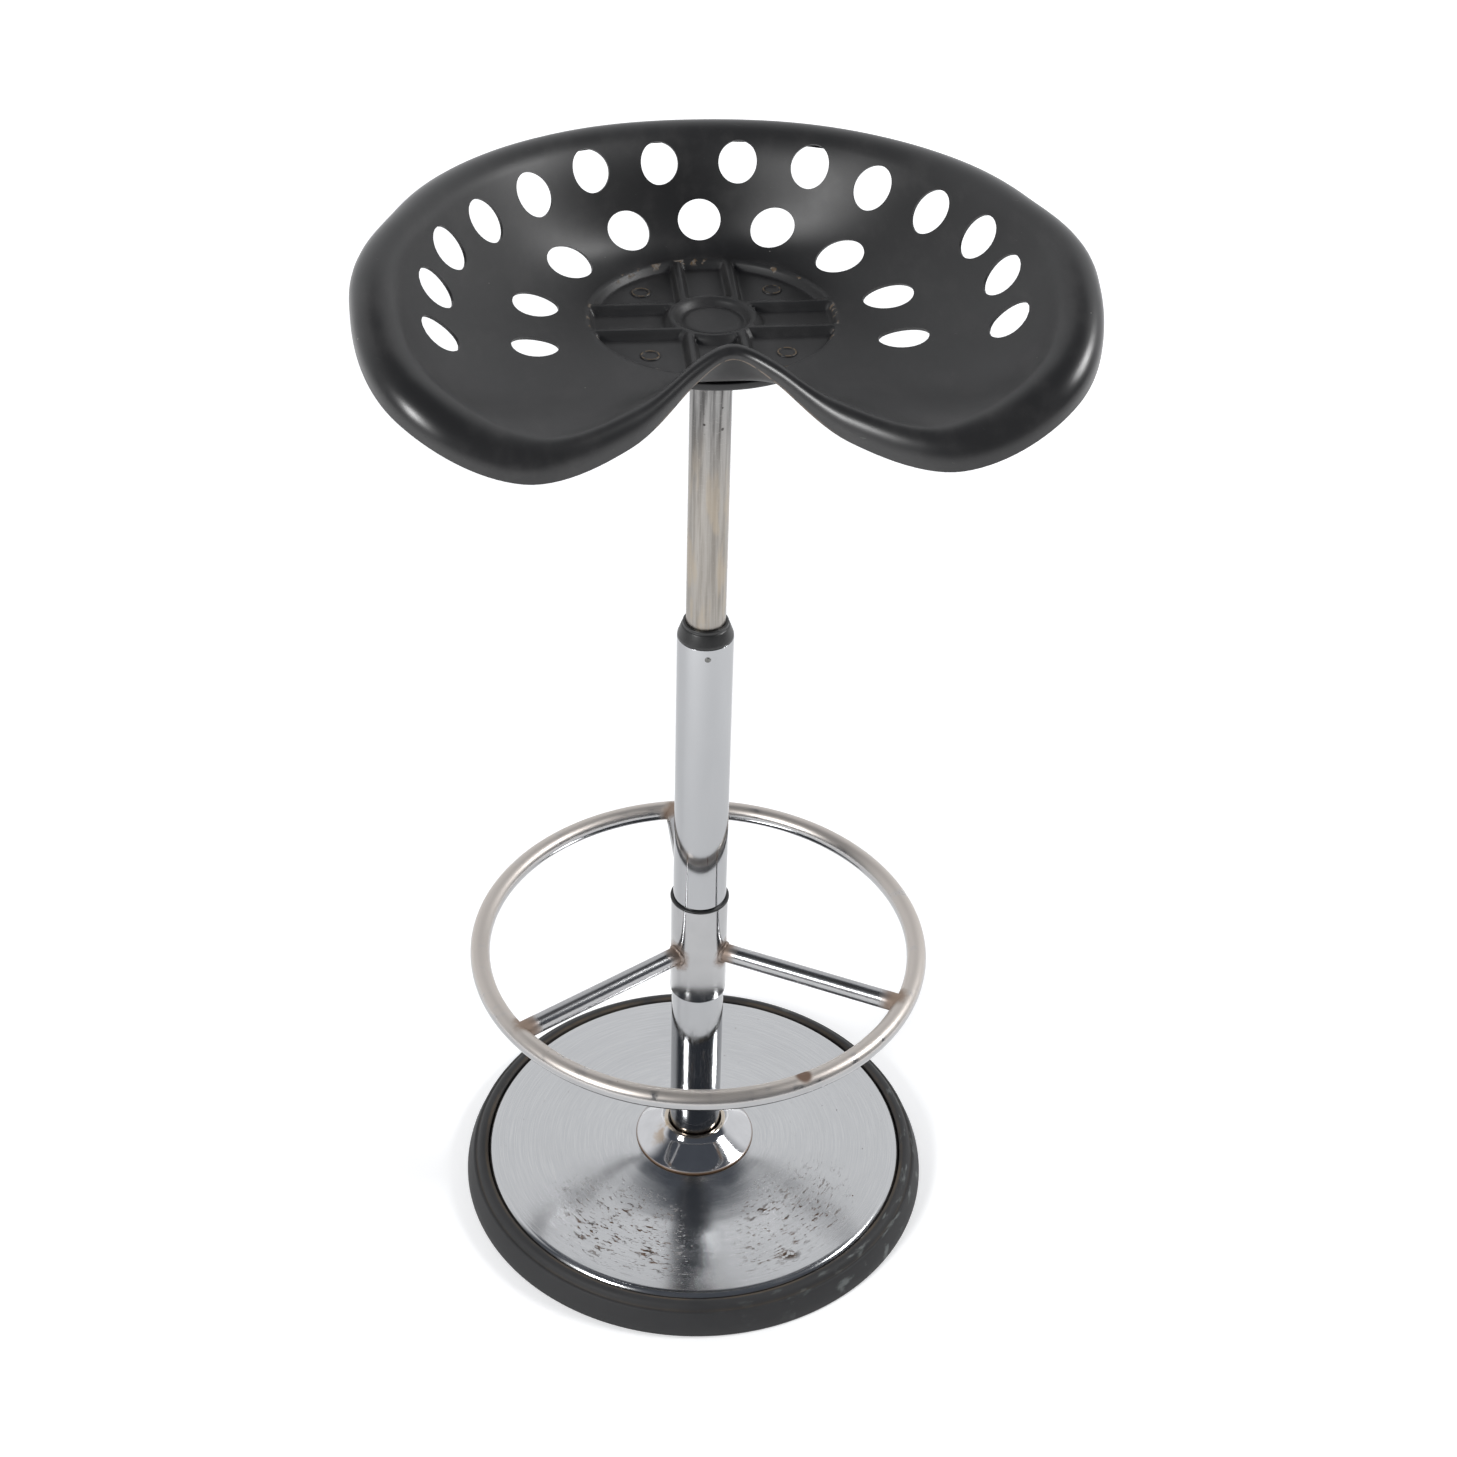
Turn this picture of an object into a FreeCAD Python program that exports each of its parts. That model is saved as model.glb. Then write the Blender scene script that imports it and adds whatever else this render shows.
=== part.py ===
import FreeCAD, Part
import math
import os

# Adjustable swivel stool: a pressed-steel tractor seat on a screw-lift column,
# with a welded footrest ring and a weighted, rubber-edged dish base.
# Millimetres, +Z up.  The origin is on the floor under the column's axis and
# the sitter faces -Y.

V = FreeCAD.Vector
UP = V(0, 0, 1)
ORIGIN = V(0, 0, 0)

# ---- base ----
RIM_OUTER_R = 184.6
RIM_INNER_R = 158.0
DISH_R = 167.0
DISH_SHEET = 1.2
DISH_FLOOR_Z = 25.0
DISH_HOLE_R = 22.0
CAP_R = 47.4
CAP_FOOT_Z = 33.4
CAP_TOP_Z = 50.5
CAP_TOP_R = 22.4
PAD_R = 150.0
PAD_THICK = 3.0
BALLAST_R = 155.0
BALLAST_TOP_Z = 18.0
BOSS_R = 45.0
BOSS_TOP_Z = 30.8

# ---- column and screw lift ----
COLUMN_R = 20.0
COLUMN_BORE_R = 18.5
COLUMN_FOOT_Z = 32.0
COLUMN_TOP_Z = 522.5
FLANGE_R = 34.0
FLANGE_THICK = 5.0
BOLT_CIRCLE_R = 27.0
BOLT_R = 3.9
SPINDLE_R = 10.0
SPINDLE_TOP_Z = 336.0
PLUG_TOP_Z = 52.0
STOP_Z = 327.5
INNER_R = 14.0
INNER_BORE_R = 12.0
INNER_FOOT_Z = 276.0
RUNNING_GAP = 0.07
GUIDE_LENGTH = 30.0
COLLAR_HEIGHT = 12.7
COLLAR_TOP_R = 15.9
SPIGOT_LENGTH = 42.0
PIN_Z = 515.0

# ---- footrest ----
RING_R = 166.5
RING_TUBE_R = 7.5
RING_WALL = 1.2
RING_Z = 235.0
SPOKE_R = 7.0
SPOKE_ANGLES = (92.0, 212.0, 332.0)
SLEEVE_R = 21.4
SLEEVE_BORE_R = 20.1
SLEEVE_FOOT_Z = 194.0
SLEEVE_TOP_Z = 284.0
TRIM_RING_R = 22.1
TRIM_RING_HEIGHT = 2.2

# ---- seat ----
SHEET = 2.0
RECESS_R = 79.0
RECESS_FLOOR_Z = 764.8
BOWL_FOOT_Z = 770.0
RIVET_X = 43.0
RIVET_Y = 43.0
SUPPORT_R = 84.0
SUPPORT_SHEET = 2.4
SUPPORT_RIM_TOP_Z = 766.4

# Sections of the pressing, by the angle from the back of the seat: reach and
# height of the rim's crest, slope of the bowl where the rim starts to roll over,
# radius of that roll and length of the straight edge below it.  The last two
# sections form the raised notch between the thighs.
SECTIONS = (
    # angle, reach, crest, slope, roll, edge
    (0, 138, 842, 40, 17, 4),
    (30, 140, 845, 45, 17, 4),
    (60, 156, 848, 58, 17, 4),
    (90, 185, 852, 60, 17, 4),
    (112, 225, 848, 55, 17, 4),
    (132, 249, 820, 46, 17, 4),
    (148, 223, 792, 14, 17, 4),
    (160, 171, 795, 10, 15, 4),
    (170, 134, 807, 8, 8, 3),
    (180, 120, 812, 15, 5, 2),
)
BOWL_FOOT_R = 80.0
BOWL_FOOT_SLOPE = 4.0
BOWL_FULLNESS = 1.05

# Vent holes of the right half and the middle; the left half mirrors them. Each has its place
# in plan, its size along and across its long axis, and that axis's turn from the climb.
VENTS = (
    (26, 113, 28.5, 25.5, 0),
    (72, 97, 29.5, 25.5, -7),
    (110, 70, 31.0, 25.5, -14),
    (142, 31, 32.0, 25.5, -16),
    (165, -12, 31.0, 24.5, -6),
    (174, -51, 30.0, 24.5, 2),
    (172, -90, 30.5, 21.5, 4),
    (0, 102, 28.5, 27.0, 90),
    (48, 90, 31.0, 25.5, -61),
    (89, 55, 35.5, 23.0, -54),
    (113, 0, 38.5, 22.0, -40),
    (115, -52, 35.0, 21.0, -11),
)


def cylinder(r, z0, z1, x=0.0, y=0.0):
    return Part.makeCylinder(r, z1 - z0, V(x, y, z0), UP)


def tube(outer_r, inner_r, z0, z1):
    return cylinder(outer_r, z0, z1).cut(cylinder(inner_r, z0 - 1, z1 + 1))


def turned(outline):
    """A solid of revolution about Z from a closed outline of (radius, height)."""
    points = [V(r, 0, z) for r, z in outline]
    face = Part.Face(Part.makePolygon(points + points[:1]))
    return face.revolve(ORIGIN, UP, 360)


def radial_rod(r, from_r, to_r, angle, z):
    """A round rod that lies along a radius of the column."""
    a = math.radians(angle)
    along = V(math.cos(a), math.sin(a), 0)
    return Part.makeCylinder(r, to_r - from_r, along * from_r + V(0, 0, z), along)


def joined(shapes):
    return shapes[0].multiFuse(shapes[1:]).removeSplitter() if len(shapes) > 1 else shapes[0]


def write(node, *shapes):
    """One STEP file per node; identical fasteners share a node."""
    for shape in shapes:
        if not shape.isValid() or shape.Volume <= 0:
            raise ValueError(node + " is not a sound solid")
    whole = shapes[0] if len(shapes) == 1 else Part.makeCompound(list(shapes))
    whole.exportStep(os.path.join("parts", node + ".step"))


# ---------------------------------------------------------------- seat pan
def section_value(column, angle):
    """A smooth value between the sections, level at the back and at the notch."""
    angle = abs((angle + 180.0) % 360.0 - 180.0)
    last = len(SECTIONS) - 1
    i = 0
    while i < last - 1 and angle > SECTIONS[i + 1][0]:
        i += 1

    def slope(j):
        if j in (0, last):
            return 0.0
        rise = SECTIONS[j + 1][column] - SECTIONS[j - 1][column]
        return rise / (SECTIONS[j + 1][0] - SECTIONS[j - 1][0])

    span = SECTIONS[i + 1][0] - SECTIONS[i][0]
    t = (angle - SECTIONS[i][0]) / span
    return (
        (2 * t**3 - 3 * t**2 + 1) * SECTIONS[i][column]
        + (t**3 - 2 * t**2 + t) * span * slope(i)
        + (3 * t**2 - 2 * t**3) * SECTIONS[i + 1][column]
        + (t**3 - t**2) * span * slope(i + 1)
    )


def bowl_point(angle, t):
    """Radius and height of the bowl's upper face, t from the recess (0) to the roll (1)."""
    reach, crest, slope, roll = [section_value(c, angle) for c in (1, 2, 3, 4)]
    end = math.radians(slope)
    start = math.radians(BOWL_FOOT_SLOPE)
    r1 = reach - roll * math.sin(end)
    z1 = crest - roll * (1 - math.cos(end))
    pull = math.hypot(r1 - BOWL_FOOT_R, z1 - BOWL_FOOT_Z) * BOWL_FULLNESS
    a = 2 * t**3 - 3 * t**2 + 1
    b = (t**3 - 2 * t**2 + t) * pull
    c = 3 * t**2 - 2 * t**3
    d = (t**3 - t**2) * pull
    r = a * BOWL_FOOT_R + b * math.cos(start) + c * r1 + d * math.cos(end)
    z = a * BOWL_FOOT_Z + b * math.sin(start) + c * z1 + d * math.sin(end)
    return r, z


def upper_profile(angle, bowl_steps, roll_steps):
    """The upper face's section, from the recess over the crest to the rim's edge."""
    reach, crest, slope, roll, edge = [section_value(c, angle) for c in (1, 2, 3, 4, 5)]
    points = [(RECESS_R, BOWL_FOOT_Z)]
    points += [bowl_point(angle, i / bowl_steps) for i in range(1, bowl_steps + 1)]
    for i in range(1, roll_steps + 1):
        turn = math.radians(slope - (slope + 90.0) * i / roll_steps)
        points.append((reach - roll * math.sin(turn), crest - roll + roll * math.cos(turn)))
    points.append((reach + roll, crest - roll - edge))
    return points


def lower_profile(upper):
    """The same section moved through the sheet's thickness."""
    lower = []
    for i, (r, z) in enumerate(upper):
        r0, z0 = upper[max(i - 1, 0)]
        r1, z1 = upper[min(i + 1, len(upper) - 1)]
        length = math.hypot(r1 - r0, z1 - z0)
        lower.append((r + SHEET * (z1 - z0) / length, z - SHEET * (r1 - r0) / length))
    return lower


def pan_shell(stations=60, bowl_steps=9, roll_steps=9):
    """The pressed sheet round the recess, as one closed surface."""
    rings = []
    for k in range(stations):
        angle = 360.0 * k / stations
        upper = upper_profile(angle, bowl_steps, roll_steps)
        lower = lower_profile(upper)
        rim = [((upper[-1][0] + lower[-1][0]) / 2, upper[-1][1] - 0.4)]
        inside = [(RECESS_R - 0.4, BOWL_FOOT_Z - SHEET / 2)]
        a = math.radians(angle)
        loop = upper + rim + lower[::-1] + inside
        rings.append([V(r * math.sin(a), r * math.cos(a), z) for r, z in loop])
    poles = []
    for k in range(stations):
        before, here, after = rings[k - 1], rings[k], rings[(k + 1) % stations]
        poles.append([p - (q - p * 2 + s) * (1 / 6) for q, p, s in zip(before, here, after)])
    around = len(poles[0])
    surface = Part.BSplineSurface()
    surface.buildFromPolesMultsKnots(
        poles,
        [1] * (stations + 1),
        [1] * (around + 1),
        list(range(stations + 1)),
        list(range(around + 1)),
        True,
        True,
        3,
        3,
    )
    solid = Part.Solid(Part.Shell([surface.toShape()]))
    if solid.Volume < 0:
        solid.reverse()
    return solid


def on_bowl(x, y):
    """The point of the bowl over a plan position, and the sheet's normal there."""
    angle = math.degrees(math.atan2(x, y))
    want = math.hypot(x, y)
    low, high = 0.0, 1.0
    for _ in range(40):
        t = (low + high) / 2
        if bowl_point(angle, t)[0] < want:
            low = t
        else:
            high = t
    r0, z0 = bowl_point(angle, max(t - 0.02, 0.0))
    r1, z1 = bowl_point(angle, min(t + 0.02, 1.0))
    outward = V(x, y, 0) * (1 / want)
    climb = outward * (r1 - r0) + V(0, 0, z1 - z0)
    climb.normalize()
    across = V(-outward.y, outward.x, 0)
    normal = climb.cross(across)
    return V(x, y, bowl_point(angle, t)[1]), climb, normal


def vent(x, y, length, width, turn, depth=16.0):
    """An oval punch, square to the sheet at one vent hole."""
    at, climb, normal = on_bowl(x, y)
    along = FreeCAD.Rotation(normal, turn).multVec(climb)
    start = at - normal * (depth / 2)
    oval = Part.Ellipse(start + along * (length / 2), start + normal.cross(along) * (width / 2), start)
    return Part.Face(Part.Wire(oval.toShape())).extrude(normal * depth)


def ridge(y_offset, turn):
    """One pressed ridge of the recess's cross, from the centre boss to its edge."""
    half_foot, half_top = 5.5, 2.2
    foot, top = RECESS_FLOOR_Z - 0.5, BOWL_FOOT_Z + 0.2
    inner, outer = 24.0, math.sqrt(RECESS_R**2 - y_offset**2) + 0.6
    outline = [
        V(inner, y_offset - half_foot, foot),
        V(inner, y_offset + half_foot, foot),
        V(inner, y_offset + half_top, top),
        V(inner, y_offset - half_top, top),
    ]
    bar = Part.Face(Part.makePolygon(outline + outline[:1])).extrude(V(outer - inner, 0, 0))
    bar.rotate(ORIGIN, UP, turn)
    return bar


def seat_pan():
    floor_under = RECESS_FLOOR_Z - SHEET
    floor = cylinder(RECESS_R + 1.5, floor_under, RECESS_FLOOR_Z)
    wall = tube(RECESS_R + SHEET, RECESS_R, floor_under, BOWL_FOOT_Z - 0.7)
    boss = turned(
        [
            (0, RECESS_FLOOR_Z - 0.5),
            (32, RECESS_FLOOR_Z - 0.5),
            (28.5, BOWL_FOOT_Z + 0.4),
            (25.5, BOWL_FOOT_Z + 0.4),
            (22.5, RECESS_FLOOR_Z + 1.8),
            (0, RECESS_FLOOR_Z + 1.8),
        ]
    )
    half_gap = 17.0
    ridges = [ridge(side * half_gap, turn) for turn in (0, 90, 180, 270) for side in (-1, 1)]
    recess = joined([floor, wall, boss] + ridges)
    recess = recess.common(cylinder(RECESS_R + SHEET, floor_under, BOWL_FOOT_Z + 1))
    recess = recess.cut(tube(RECESS_R + 6, RECESS_R + SHEET - 0.01, floor_under - 1, floor_under + 9))
    pan = pan_shell().fuse(recess)
    punches = []
    for x, y, length, width, turn in VENTS:
        for side in (1, -1) if x else (1,):
            punches.append(vent(side * x, y, length, width, side * turn))
    for x, y in rivet_places():
        punches.append(cylinder(4.1, floor_under - 1, RECESS_FLOOR_Z + 1, x, y))
    return pan.cut(Part.makeCompound(punches))


def rivet_places():
    return [(sx * RIVET_X, sy * RIVET_Y) for sx in (-1, 1) for sy in (-1, 1)]


def seat_parts():
    floor_under = RECESS_FLOOR_Z - SHEET
    write("seat_pan", seat_pan())

    # Support dish: a shallow pressing with an upturned rim, welded to the lift tube's head.
    low = floor_under - SUPPORT_SHEET
    rim_inner = SUPPORT_R - SUPPORT_SHEET
    corner = 3.0
    support = turned(
        [
            (0, low),
            (SUPPORT_R - corner, low),
            (SUPPORT_R - 0.3 * corner, low + 0.3 * corner),
            (SUPPORT_R, low + corner),
            (SUPPORT_R, SUPPORT_RIM_TOP_Z),
            (rim_inner, SUPPORT_RIM_TOP_Z),
            (rim_inner, floor_under),
            (0, floor_under),
        ]
    )
    screw_seat = Part.makeCone(4.2, 4.2 + SUPPORT_SHEET + 1, SUPPORT_SHEET + 1, V(0, 0, low), UP)
    support = support.cut(screw_seat)
    for x, y in rivet_places():
        support = support.cut(cylinder(4.1, low - 1, floor_under + 1, x, y))
    write("support_dish", support)

    rivets = []
    for x, y in rivet_places():
        rivet = turned(
            [
                (0, low - 2.6),
                (4.5, low - 2.2),
                (6.2, low),
                (4.0, low),
                (4.0, RECESS_FLOOR_Z),
                (6.6, RECESS_FLOOR_Z),
                (6.6, RECESS_FLOOR_Z + 0.6),
                (5.4, RECESS_FLOOR_Z + 1.0),
                (3.0, RECESS_FLOOR_Z + 0.5),
                (0, RECESS_FLOOR_Z + 0.4),
            ]
        )
        rivet.translate(V(x, y, 0))
        rivets.append(rivet)
    write("seat_rivets", *rivets)

    plug_top = low
    plug = cylinder(INNER_BORE_R, plug_top - 24, plug_top).cut(cylinder(4.1, plug_top - 20, plug_top + 1))
    write("head_plug", plug)
    screw = cylinder(4.0, plug_top - 18, low + 0.2)
    head = Part.makeCone(4.0, 4.0 + SUPPORT_SHEET - 0.2, SUPPORT_SHEET - 0.2, V(0, 0, low), UP)
    socket = cylinder(2.3, floor_under - 2.0, floor_under + 1)
    write("head_screw", screw.fuse(head).cut(socket))
    return low


# ---------------------------------------------------------------- lift
def lift_parts(tube_top_z):
    collar_r = 17.2
    collar_thick = 6.0
    lift_tube = tube(INNER_R, INNER_BORE_R, INNER_FOOT_Z, tube_top_z)
    guide_z = INNER_FOOT_Z + 0.4
    clip_z = guide_z + GUIDE_LENGTH + 0.5
    groove = tube(INNER_R + 1, INNER_R - 0.8, clip_z, clip_z + 1.6)
    pins = [radial_rod(2.0, INNER_BORE_R - 1.5, INNER_R - 0.15, a, INNER_FOOT_Z + 15) for a in (0, 180)]
    pin_holes = [radial_rod(2.05, INNER_BORE_R - 1.6, INNER_R + 1, a, INNER_FOOT_Z + 15) for a in (0, 180)]
    lift_tube = lift_tube.cut(groove)
    nut = cylinder(INNER_BORE_R - 0.02, INNER_FOOT_Z, INNER_FOOT_Z + GUIDE_LENGTH)
    nut = nut.fuse(cylinder(collar_r, INNER_FOOT_Z - collar_thick, INNER_FOOT_Z))
    nut = nut.cut(cylinder(SPINDLE_R + RUNNING_GAP, INNER_FOOT_Z - 10, INNER_FOOT_Z + GUIDE_LENGTH + 1))
    for hole in pin_holes:
        lift_tube = lift_tube.cut(hole)
        nut = nut.cut(hole)
    write("lift_tube", lift_tube)
    write("spindle_nut", nut)
    write("nut_pins", *pins)

    clip = tube(16.5, INNER_R - 0.75, clip_z + 0.05, clip_z + 1.5)
    gap = Part.makeBox(12, 5, 4, V(10, -2.5, clip_z - 1))
    write("guide_circlip", clip.cut(gap))

    guide = tube(COLUMN_BORE_R - RUNNING_GAP, INNER_R + RUNNING_GAP, guide_z, guide_z + GUIDE_LENGTH)
    write("lift_guide_bush", guide)

    spindle = cylinder(SPINDLE_R, PLUG_TOP_Z, SPINDLE_TOP_Z)
    spindle = spindle.fuse(cylinder(8.0, COLUMN_FOOT_Z + 2, PLUG_TOP_Z))
    spindle = spindle.fuse(cylinder(6.0, SPINDLE_TOP_Z - 1, SPINDLE_TOP_Z + 3))
    neck_z = STOP_Z
    spindle = spindle.cut(tube(SPINDLE_R + 1, 6.0, neck_z, SPINDLE_TOP_Z + 4))
    spindle = spindle.cut(cylinder(3.1, SPINDLE_TOP_Z - 14, SPINDLE_TOP_Z + 4))
    write("lift_spindle", spindle)
    washer_top = SPINDLE_TOP_Z + 3.0
    write("stop_washer", tube(11.4, 6.1, neck_z, washer_top))
    stop_screw = cylinder(3.0, SPINDLE_TOP_Z - 12, washer_top + 1)
    stop_screw = stop_screw.fuse(cylinder(8.0, washer_top, washer_top + 4))
    write("stop_screw", stop_screw.cut(cylinder(2.5, washer_top + 1.5, washer_top + 6)))

    plug = cylinder(COLUMN_BORE_R - 0.02, COLUMN_FOOT_Z, PLUG_TOP_Z)
    write("spindle_plug", plug.cut(cylinder(8.0, COLUMN_FOOT_Z + 2, PLUG_TOP_Z + 1)))


# ---------------------------------------------------------------- column
def column_parts():
    screw_angle = SPOKE_ANGLES[0]
    screw_z = SLEEVE_TOP_Z - 14
    column = tube(COLUMN_R, COLUMN_BORE_R, COLUMN_FOOT_Z, COLUMN_TOP_Z)
    pin_hole = radial_rod(2.3, 15.0, COLUMN_R + 2, -90, PIN_Z)
    screw_hole = radial_rod(2.05, COLUMN_BORE_R - 2, COLUMN_R + 8, screw_angle, screw_z)
    write("column_tube", column.cut(pin_hole).cut(screw_hole))

    flange_top = COLUMN_FOOT_Z + FLANGE_THICK
    flange = tube(FLANGE_R, COLUMN_R + 0.02, COLUMN_FOOT_Z, flange_top)
    for x, y in bolt_places():
        flange = flange.cut(cylinder(BOLT_R + 0.1, COLUMN_FOOT_Z - 1, flange_top + 1, x, y))
    write("column_flange", flange)

    spigot_foot = COLUMN_TOP_Z - SPIGOT_LENGTH
    bore = INNER_R + RUNNING_GAP
    lip = 0.4
    collar = turned(
        [
            (bore, spigot_foot),
            (COLUMN_BORE_R - 0.02, spigot_foot),
            (COLUMN_BORE_R - 0.02, COLUMN_TOP_Z),
            (COLUMN_R - 0.1, COLUMN_TOP_Z),
            (COLUMN_R - 0.1, COLUMN_TOP_Z + 1.5),
            (COLLAR_TOP_R + lip, COLUMN_TOP_Z + COLLAR_HEIGHT - 1.2),
            (COLLAR_TOP_R, COLUMN_TOP_Z + COLLAR_HEIGHT),
            (bore, COLUMN_TOP_Z + COLLAR_HEIGHT),
        ]
    )
    write("top_collar", collar.cut(pin_hole))
    pin = radial_rod(2.2, 15.5, COLUMN_R + 0.3, -90, PIN_Z)
    head = radial_rod(2.8, COLUMN_R + 0.05, COLUMN_R + 0.7, -90, PIN_Z)
    write("collar_pin", pin.fuse(head))

    sleeve = tube(SLEEVE_R, SLEEVE_BORE_R, SLEEVE_FOOT_Z, SLEEVE_TOP_Z).cut(screw_hole)
    write("footrest_sleeve", sleeve)
    write("sleeve_ring", tube(TRIM_RING_R, SLEEVE_BORE_R, SLEEVE_TOP_Z, SLEEVE_TOP_Z + TRIM_RING_HEIGHT))
    shank = radial_rod(2.0, COLUMN_BORE_R + 0.2, SLEEVE_R + 0.3, screw_angle, screw_z)
    screw_head = radial_rod(4.0, SLEEVE_R + 0.3, SLEEVE_R + 2.2, screw_angle, screw_z)
    write("sleeve_screw", shank.fuse(screw_head))

    centre = V(0, 0, RING_Z)
    outer_torus = Part.makeTorus(RING_R, RING_TUBE_R, centre, UP)
    inner_torus = Part.makeTorus(RING_R, RING_TUBE_R - RING_WALL, centre, UP)
    write("footrest_ring", outer_torus.cut(inner_torus))
    keep_off = Part.makeTorus(RING_R, RING_TUBE_R + 0.03, centre, UP)
    round_sleeve = cylinder(SLEEVE_R + 0.03, RING_Z - 20, RING_Z + 20)
    for number, angle in enumerate(SPOKE_ANGLES, 1):
        rod = radial_rod(SPOKE_R, SLEEVE_R - 4, RING_R - 1, angle, RING_Z)
        bore_rod = radial_rod(SPOKE_R - RING_WALL, 0, RING_R, angle, RING_Z)
        write("footrest_spoke_%d" % number, rod.cut(keep_off).cut(round_sleeve).cut(bore_rod))


def bolt_places():
    turns = [math.radians(45 + 90 * i) for i in range(4)]
    return [(BOLT_CIRCLE_R * math.cos(a), BOLT_CIRCLE_R * math.sin(a)) for a in turns]


# ---------------------------------------------------------------- base
def base_parts():
    # Pressed dish: raised centre under the cap, flared foot, level floor, rolled lip
    # and a short skirt that the rubber edge grips.
    top = [
        (DISH_HOLE_R, COLUMN_FOOT_Z),
        (BOSS_R - 1, COLUMN_FOOT_Z),
        (50, 30.9),
        (58, 28.3),
        (66, 26.6),
        (80, 25.9),
        (DISH_R - 7, DISH_FLOOR_Z - 0.4),
        (DISH_R - 5.5, DISH_FLOOR_Z + 1.0),
        (DISH_R - 3.6, DISH_FLOOR_Z + 1.9),
        (DISH_R - 1.4, DISH_FLOOR_Z + 1.5),
        (DISH_R, DISH_FLOOR_Z - 0.4),
        (DISH_R, 9.0),
    ]
    under = [
        (DISH_R - DISH_SHEET, 9.0),
        (DISH_R - DISH_SHEET, DISH_FLOOR_Z - 1.0),
        (DISH_R - 3.6, DISH_FLOOR_Z + 0.6),
        (DISH_R - 5.5, DISH_FLOOR_Z - 0.6),
        (DISH_R - 7, DISH_FLOOR_Z - 0.4 - DISH_SHEET),
        (80, 25.9 - DISH_SHEET),
        (66, 26.6 - DISH_SHEET),
        (58, 28.3 - DISH_SHEET),
        (50, 30.9 - DISH_SHEET),
        (BOSS_R - 1, COLUMN_FOOT_Z - DISH_SHEET),
        (DISH_HOLE_R, COLUMN_FOOT_Z - DISH_SHEET),
    ]
    dish = turned(top + under)
    for x, y in bolt_places():
        dish = dish.cut(cylinder(BOLT_R + 0.3, COLUMN_FOOT_Z - 5, COLUMN_FOOT_Z + 5, x, y))
    write("base_dish", dish)

    # Cone cap that hides the flange, with a rolled edge round the column.
    cap = turned(
        [
            (CAP_R, CAP_FOOT_Z - 1.4),
            (CAP_R, CAP_FOOT_Z),
            (36.5, 40.8),
            (27.5, 47.0),
            (24.6, 49.6),
            (CAP_TOP_R + 0.8, CAP_TOP_Z),
            (CAP_TOP_R - 0.8, CAP_TOP_Z - 0.4),
            (CAP_TOP_R - 1.4, CAP_TOP_Z - 1.6),
            (CAP_TOP_R - 0.4, CAP_TOP_Z - 1.6),
            (CAP_TOP_R + 0.4, CAP_TOP_Z - 1.5),
            (23.6, 48.4),
            (26.7, 46.0),
            (35.8, 39.7),
            (CAP_R - 1.2, CAP_FOOT_Z - 0.8),
            (CAP_R - 1.2, CAP_FOOT_Z - 1.4),
        ]
    )
    write("base_cap", cap)

    # Cast weight with a centre boss that carries the dish and the flange.
    ballast = turned(
        [
            (0, PAD_THICK),
            (BALLAST_R, PAD_THICK),
            (BALLAST_R, BALLAST_TOP_Z),
            (62, BALLAST_TOP_Z),
            (52, BALLAST_TOP_Z + 4),
            (BOSS_R - 3, BOSS_TOP_Z),
            (0, BOSS_TOP_Z),
        ]
    )
    counterbore_top = 14.0
    bolts = []
    for x, y in bolt_places():
        ballast = ballast.cut(cylinder(BOLT_R + 0.3, 0, 40, x, y))
        ballast = ballast.cut(cylinder(8.0, 0, counterbore_top, x, y))
        head_foot = counterbore_top - 8.0
        bolt = cylinder(BOLT_R, counterbore_top - 1, COLUMN_FOOT_Z + FLANGE_THICK, x, y)
        bolt = bolt.fuse(cylinder(6.5, head_foot, counterbore_top, x, y))
        bolts.append(bolt.cut(cylinder(3.2, head_foot - 1, head_foot + 4, x, y)))
    write("ballast_plate", ballast)
    write("base_bolts", *bolts)
    write("floor_pad", cylinder(PAD_R, 0, PAD_THICK))

    # Moulded rubber edge: a soft shoulder, a groove line and a bellied wall.
    rubber = turned(
        [
            (RIM_INNER_R, 0),
            (RIM_OUTER_R - 1.8, 0),
            (RIM_OUTER_R - 0.3, 1.5),
            (RIM_OUTER_R, 5.0),
            (RIM_OUTER_R - 0.8, 11.0),
            (RIM_OUTER_R - 3.2, 17.0),
            (RIM_OUTER_R - 5.6, 20.2),
            (RIM_OUTER_R - 7.2, 21.2),
            (RIM_OUTER_R - 8.2, 20.4),
            (RIM_OUTER_R - 10.0, 23.6),
            (RIM_OUTER_R - 13.0, 25.9),
            (RIM_OUTER_R - 16.0, 26.4),
            (DISH_R + 0.1, 25.6),
            (DISH_R + 0.1, 8.8),
            (DISH_R - DISH_SHEET - 0.1, 8.8),
            (DISH_R - DISH_SHEET - 0.1, 15.0),
            (RIM_INNER_R, 15.0),
        ]
    )
    write("rubber_rim", rubber)


os.makedirs("parts", exist_ok=True)
base_parts()
column_parts()
lift_parts(seat_parts())
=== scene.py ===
import math

import bmesh
import bpy
from mathutils import Matrix, Vector


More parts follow.
